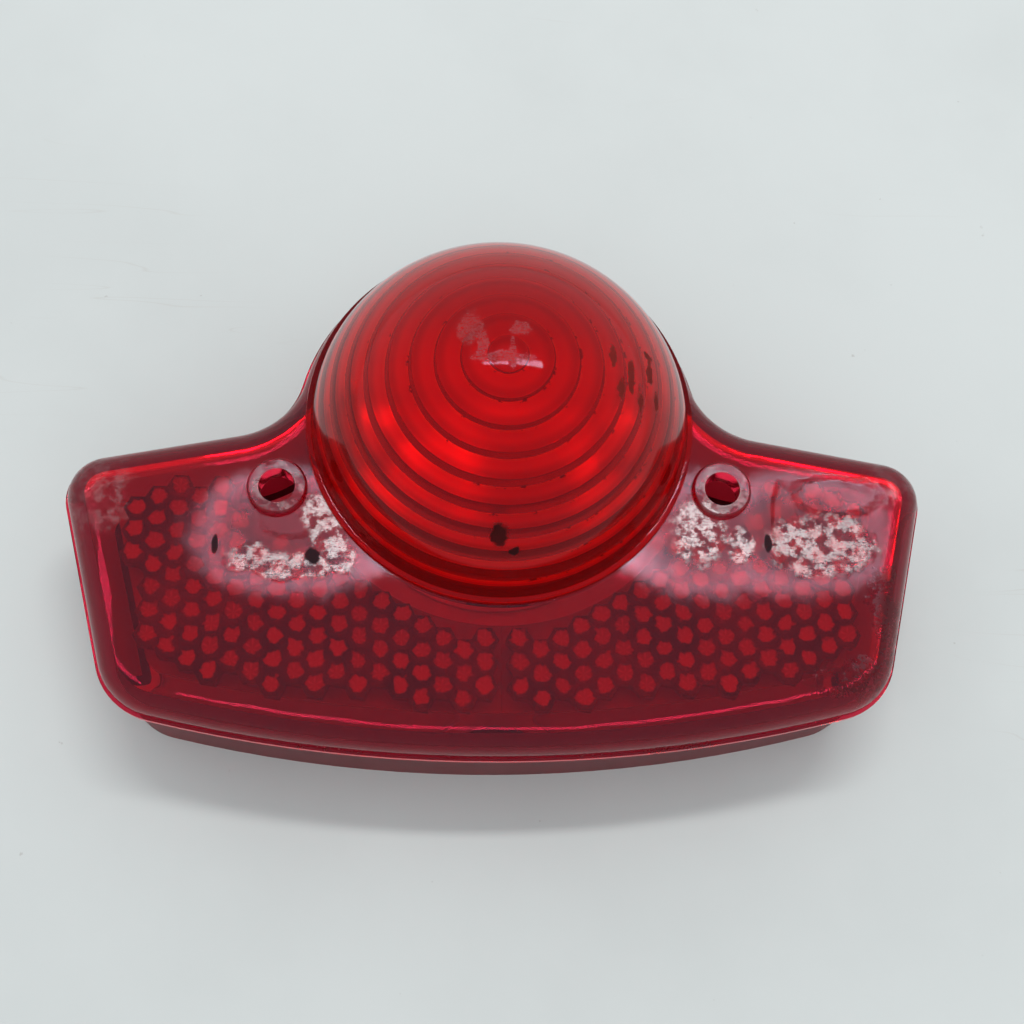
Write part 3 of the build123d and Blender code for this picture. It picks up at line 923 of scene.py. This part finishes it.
class TAILLIGHT_OT_prism_fields(bpy.types.Operator):
    """Models one reflex prism and lays it out as the two fields under the wings"""

    bl_idname = "taillight.prism_fields"
    bl_label = "Prism fields"

    def execute(self, context):
        settings = context.scene.lens_settings
        finish = prism_finish(settings, field_start())
        for side, word in zip((-1, 1), WINGS):
            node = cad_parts[f"reflector_insert_{word}"]
            low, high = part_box(node.name)
            cell = prism_cell(settings.prism_side, high.z - settings.film, low.z + settings.film)
            copies = []
            for x, y in prism_places(node, settings, side):
                twin = bpy.data.objects.new("prism_twin", cell.data.copy())
                context.collection.objects.link(twin)
                twin.location = (x, y, 0)
                twin.rotation_euler = (0, 0, side * settings.field_turn)
                copies.append(twin)
            bpy.data.objects.remove(cell)
            field = join_prisms(f"prism_field_{word}", copies)
            place_piece(field, "lens", node.name, finish)
        return {"FINISHED"}


class TAILLIGHT_OT_backings(bpy.types.Operator):
    """Makes the two dark plates that close the prism fields from behind"""

    bl_idname = "taillight.backings"
    bl_label = "Prism backings"

    def execute(self, context):
        edge = context.scene.hardware_settings.sheet_edge
        finish = painted_finish("dark backing", (0.26, 0.035, 0.04, 1.0), 0.5, 0.02 * MM, 0.2)
        for word in WINGS:
            refine(f"reflector_backing_{word}", f"prism_backing_{word}", "lens", finish, edge)
        return {"FINISHED"}


# ---------------------------------------------------------------- base and hardware


class TAILLIGHT_OT_base_plate(bpy.types.Operator):
    """Makes the pale pressed base plate, its rim gasket and the cable grommet"""

    bl_idname = "taillight.base_plate"
    bl_label = "Base plate and rubber"

    def execute(self, context):
        settings = context.scene.hardware_settings
        enamel = painted_finish("grey enamel", (0.66, 0.66, 0.64, 1.0), 0.3, 0.01 * MM, 0.15)
        rubber = painted_finish("black rubber", (0.022, 0.022, 0.023, 1.0), 0.62, 0.03 * MM, 0.0)
        refine("base_plate", "pressed_base", "base", enamel, settings.sheet_edge)
        refine("rim_gasket", "rim_strip", "base", rubber, settings.moulded_edge)
        refine("cable_grommet", "rubber_grommet", "base", rubber, settings.moulded_edge)
        return {"FINISHED"}


class TAILLIGHT_OT_bulb_reflector(bpy.types.Operator):
    """Makes the white cup under the bulb, its rivets and the insulating strip"""

    bl_idname = "taillight.bulb_reflector"
    bl_label = "Bulb reflector"

    def execute(self, context):
        settings = context.scene.hardware_settings
        enamel = painted_finish("glossy enamel", (0.84, 0.84, 0.81, 1.0), 0.16, 0.01 * MM, 0.1)
        steel = metal_finish("plated steel", (0.66, 0.65, 0.62, 1.0), 0.32)
        pale = painted_finish("pale insulator", (0.74, 0.69, 0.57, 1.0), 0.45, 0.02 * MM, 0.15)
        refine("bulb_reflector", "reflector_cup", "base", enamel, settings.sheet_edge)
        refine("reflector_rivets", "cup_rivets", "base", steel, settings.moulded_edge)
        refine("insulator_strip", "contact_strip", "base", pale, settings.moulded_edge)
        return {"FINISHED"}


class TAILLIGHT_OT_contacts(bpy.types.Operator):
    """Makes both brass contacts, their rivets, and the earth tab"""

    bl_idname = "taillight.contacts"
    bl_label = "Contacts"

    def execute(self, context):
        settings = context.scene.hardware_settings
        brass = metal_finish("spring brass", (0.80, 0.60, 0.28, 1.0), 0.26, tarnish=0.35)
        turned = metal_finish("turned brass", (0.74, 0.53, 0.24, 1.0), 0.3)
        steel = bpy.data.materials["plated steel"]
        for word in ("live", "earth"):
            refine(f"contact_foot_{word}", f"brass_foot_{word}", "base", brass, 0.06 * MM)
            refine(f"contact_blade_{word}", f"brass_blade_{word}", f"blade_{word}", brass,
                   0.08 * MM)
            refine(f"contact_rivet_{word}", f"brass_rivet_{word}", "base", turned,
                   settings.moulded_edge)
        refine("earth_tab", "brass_tab", "base", brass, settings.sheet_edge)
        refine("earth_tab_rivet", "tab_rivet", "base", steel, settings.moulded_edge)
        return {"FINISHED"}


class TAILLIGHT_OT_terminal(bpy.types.Operator):
    """Makes the slotted terminal screw, its washer and its nut"""

    bl_idname = "taillight.terminal"
    bl_label = "Terminal"

    def execute(self, context):
        settings = context.scene.hardware_settings
        steel, turned = (bpy.data.materials[name] for name in ("plated steel", "turned brass"))
        refine("terminal_screw", "slotted_screw", "screw", steel, settings.sheet_edge)
        refine("terminal_washer", "flat_washer", "base", steel, 0.08 * MM)
        refine("terminal_nut", "hexagon_nut", "base", turned, settings.sheet_edge)
        return {"FINISHED"}


# ---------------------------------------------------------------- bulb


def rounded(points, soft):
    """The line with each inner corner cut back by the soft length and rounded through its middle."""
    kept = [Vector(points[0])]
    for before, corner, after in zip(points, points[1:], points[2:]):
        before, corner, after = Vector(before), Vector(corner), Vector(after)
        into = corner + (before - corner).normalized() * min(soft, 0.45 * (before - corner).length)
        out = corner + (after - corner).normalized() * min(soft, 0.45 * (after - corner).length)
        kept += [into, 0.25 * into + 0.5 * corner + 0.25 * out, out]
    return kept + [Vector(points[-1])]


def along_axis(points, axis_z):
    """Points given as (x, distance from the bulb's axis), placed above that axis."""
    return [(x, 0.0, axis_z + reach) for x, reach in points]


class TAILLIGHT_OT_bulb(bpy.types.Operator):
    """Models the festoon bulb: glass, caps, lead wires and coiled filament"""

    bl_idname = "taillight.bulb"
    bl_label = "Festoon bulb"

    def execute(self, context):
        low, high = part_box("bulb_glass")
        axis_z = 0.5 * (low.z + high.z)
        self.make_glass(axis_z, high.x, high.z - axis_z)
        self.make_caps(axis_z)
        wire = metal_finish("filament wire", (0.42, 0.42, 0.43, 1.0), 0.35, tarnish=0.1)
        refine("filament_leads", "lead_wires", "bulb", wire, 0.05 * MM)
        self.make_filament(context, axis_z, wire)
        return {"FINISHED"}

    def make_glass(self, axis_z, half, radius):
        """Hollow tube with drawn-in ends that go into the caps."""
        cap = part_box("bulb_cap_right")[0].x
        neck = 3.77 * MM
        taper = 1.2 * MM
        wall = Vector((0, 0, 0.6 * MM))
        outer = [(-half, neck), (-cap, neck), (-cap + taper, radius), (cap - taper, radius), (cap, neck),
                 (half, neck)]
        outer = rounded(along_axis(outer, axis_z), 0.9 * MM)
        inner = [point - wall for point in reversed(outer)]
        glass = draw_profile("festoon_glass", outer + inner + [outer[0]])
        spin_round(glass, centre=(0, 0, axis_z), axis=(1, 0, 0), steps=64, sharp_over=40)
        place_piece(glass, "bulb", "bulb_glass", glass_finish())

    def make_caps(self, axis_z):
        """Rolled metal caps with blunt points."""
        nickel = metal_finish("nickel caps", (0.74, 0.71, 0.66, 1.0), 0.2, tarnish=0.3)
        for side, word in zip((-1, 1), WINGS):
            low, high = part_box(f"bulb_cap_{word}")
            radius = high.z - axis_z
            open_end, tip = sorted((abs(low.x), abs(high.x)))
            wall, shoulder, point = 0.45 * MM, tip - 1.5 * MM, 1.2 * MM
            line = [(tip, 0), (tip, point), (shoulder, radius), (open_end, radius),
                    (open_end, radius - wall), (shoulder, radius - wall), (shoulder, 0)]
            line = along_axis([(side * x, reach) for x, reach in line], axis_z)
            cap = draw_profile(f"festoon_cap_{word}", rounded(line, 0.2 * MM))
            spin_round(cap, centre=(0, 0, axis_z), axis=(1, 0, 0), steps=56, sharp_over=32)
            place_piece(cap, "bulb", f"bulb_cap_{word}", nickel)

    def make_filament(self, context, axis_z, wire):
        """A filament wound as a fine helix that bows upwards."""
        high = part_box("filament_coil")[1]
        turns = context.scene.hardware_settings.coil_turns
        half = high.x
        bow = high.z - axis_z - 0.5 * MM
        coil_radius = 0.38 * MM
        steps = 10 * turns
        curve = bpy.data.curves.new("filament_path", "CURVE")
        curve.dimensions = "3D"
        curve.bevel_depth = 0.07 * MM
        curve.bevel_resolution = 1
        curve.use_fill_caps = True
        path = curve.splines.new("POLY")
        path.points.add(steps)
        for index, point in enumerate(path.points):
            share = index / steps
            x = half * (2 * share - 1)
            middle = axis_z + bow * (1 - (x / half) ** 2)
            turn = FULL_TURN * turns * share
            point.co = (x, coil_radius * cos(turn), middle + coil_radius * sin(turn), 1.0)
        coil = bpy.data.objects.new("filament_helix", curve)
        context.collection.objects.link(coil)
        take(coil)
        bpy.ops.object.convert(target="MESH")
        coil = context.object
        bpy.ops.object.mode_set(mode="EDIT")
        tidy_mesh()
        bpy.ops.object.mode_set(mode="OBJECT")
        smooth_over(coil, 60)
        place_piece(coil, "bulb", "filament_coil", wire)


# ---------------------------------------------------------------- stage


class TAILLIGHT_OT_stage(bpy.types.Operator):
    """Adds the pale floor, the soft light and the camera"""

    bl_idname = "taillight.stage"
    bl_label = "Floor, light and camera"

    def execute(self, context):
        settings = context.scene.stage_settings
        self.add_floor(settings)
        self.add_light(context, settings)
        self.add_camera(context, settings)
        clear_selection()
        return {"FINISHED"}

    def add_floor(self, settings):
        """A pale floor just under the lens's rim."""
        clear_selection()
        bpy.ops.mesh.primitive_plane_add(size=4.0, location=(0, 0, -0.05 * MM))
        floor = bpy.context.object
        floor.name = "pale_floor"
        bpy.ops.object.transform_apply(location=True, rotation=True, scale=True)
        floor.data.materials.append(floor_finish(settings.floor_colour))

    def add_light(self, context, settings):
        """Even light from all round, and a long window behind and above."""
        world = bpy.data.worlds.new("Soft room")
        context.scene.world = world
        world.use_nodes = True
        fill(world.node_tree.nodes["Background"].inputs, Color=settings.room_colour,
             Strength=settings.room_strength)
        window = bpy.data.lights.new("Long window", "AREA")
        window.shape = "RECTANGLE"
        window.size, window.size_y = 0.60, 0.075
        window.energy = settings.window_power
        lamp = bpy.data.objects.new("Long window", window)
        context.collection.objects.link(lamp)
        lamp.location = (0.10, 0.33, 1.02)

    def add_camera(self, context, settings):
        """The camera, above and in front of the lens."""
        view = bpy.data.cameras.new("Main view")
        view.lens = settings.camera_lens
        view.sensor_width = 36.0
        view.clip_start = 0.01
        view.dof.use_dof = False
        camera = bpy.data.objects.new("Main view", view)
        context.collection.objects.link(camera)
        camera.location = settings.camera_place
        camera.rotation_euler = settings.camera_turn
        context.scene.camera = camera
        context.scene.view_settings.view_transform = "Standard"


# ---------------------------------------------------------------- panel and registration

STEPS = (
    TAILLIGHT_OT_dome,
    TAILLIGHT_OT_wing_shell,
    TAILLIGHT_OT_prism_fields,
    TAILLIGHT_OT_backings,
    TAILLIGHT_OT_base_plate,
    TAILLIGHT_OT_bulb_reflector,
    TAILLIGHT_OT_contacts,
    TAILLIGHT_OT_terminal,
    TAILLIGHT_OT_bulb,
    TAILLIGHT_OT_stage,
)


class TAILLIGHT_PT_panel(bpy.types.Panel):
    """Lists every piece of the tail light, in the order they are made"""

    bl_label = "Tail Light"
    bl_idname = "TAILLIGHT_PT_panel"
    bl_space_type = "VIEW_3D"
    bl_region_type = "UI"
    bl_category = "Tail Light"

    def draw(self, context):
        for step in STEPS:
            self.layout.operator(step.bl_idname)


CLASSES = (LensSettings, HardwareSettings, StageSettings) + STEPS + (TAILLIGHT_PT_panel,)


def register():
    """Registers the settings, operators and panel."""
    for item in CLASSES:
        bpy.utils.register_class(item)
    bpy.types.Scene.lens_settings = bpy.props.PointerProperty(type=LensSettings)
    bpy.types.Scene.hardware_settings = bpy.props.PointerProperty(type=HardwareSettings)
    bpy.types.Scene.stage_settings = bpy.props.PointerProperty(type=StageSettings)


def unregister():
    """Removes what register added."""
    del bpy.types.Scene.stage_settings
    del bpy.types.Scene.hardware_settings
    del bpy.types.Scene.lens_settings
    for item in reversed(CLASSES):
        bpy.utils.unregister_class(item)


def main():
    register()
    bpy.ops.taillight.dome()
    bpy.ops.taillight.wing_shell()
    bpy.ops.taillight.prism_fields()
    bpy.ops.taillight.backings()
    bpy.ops.taillight.base_plate()
    bpy.ops.taillight.bulb_reflector()
    bpy.ops.taillight.contacts()
    bpy.ops.taillight.terminal()
    bpy.ops.taillight.bulb()
    bpy.ops.taillight.stage()


if __name__ == "__main__":
    main()
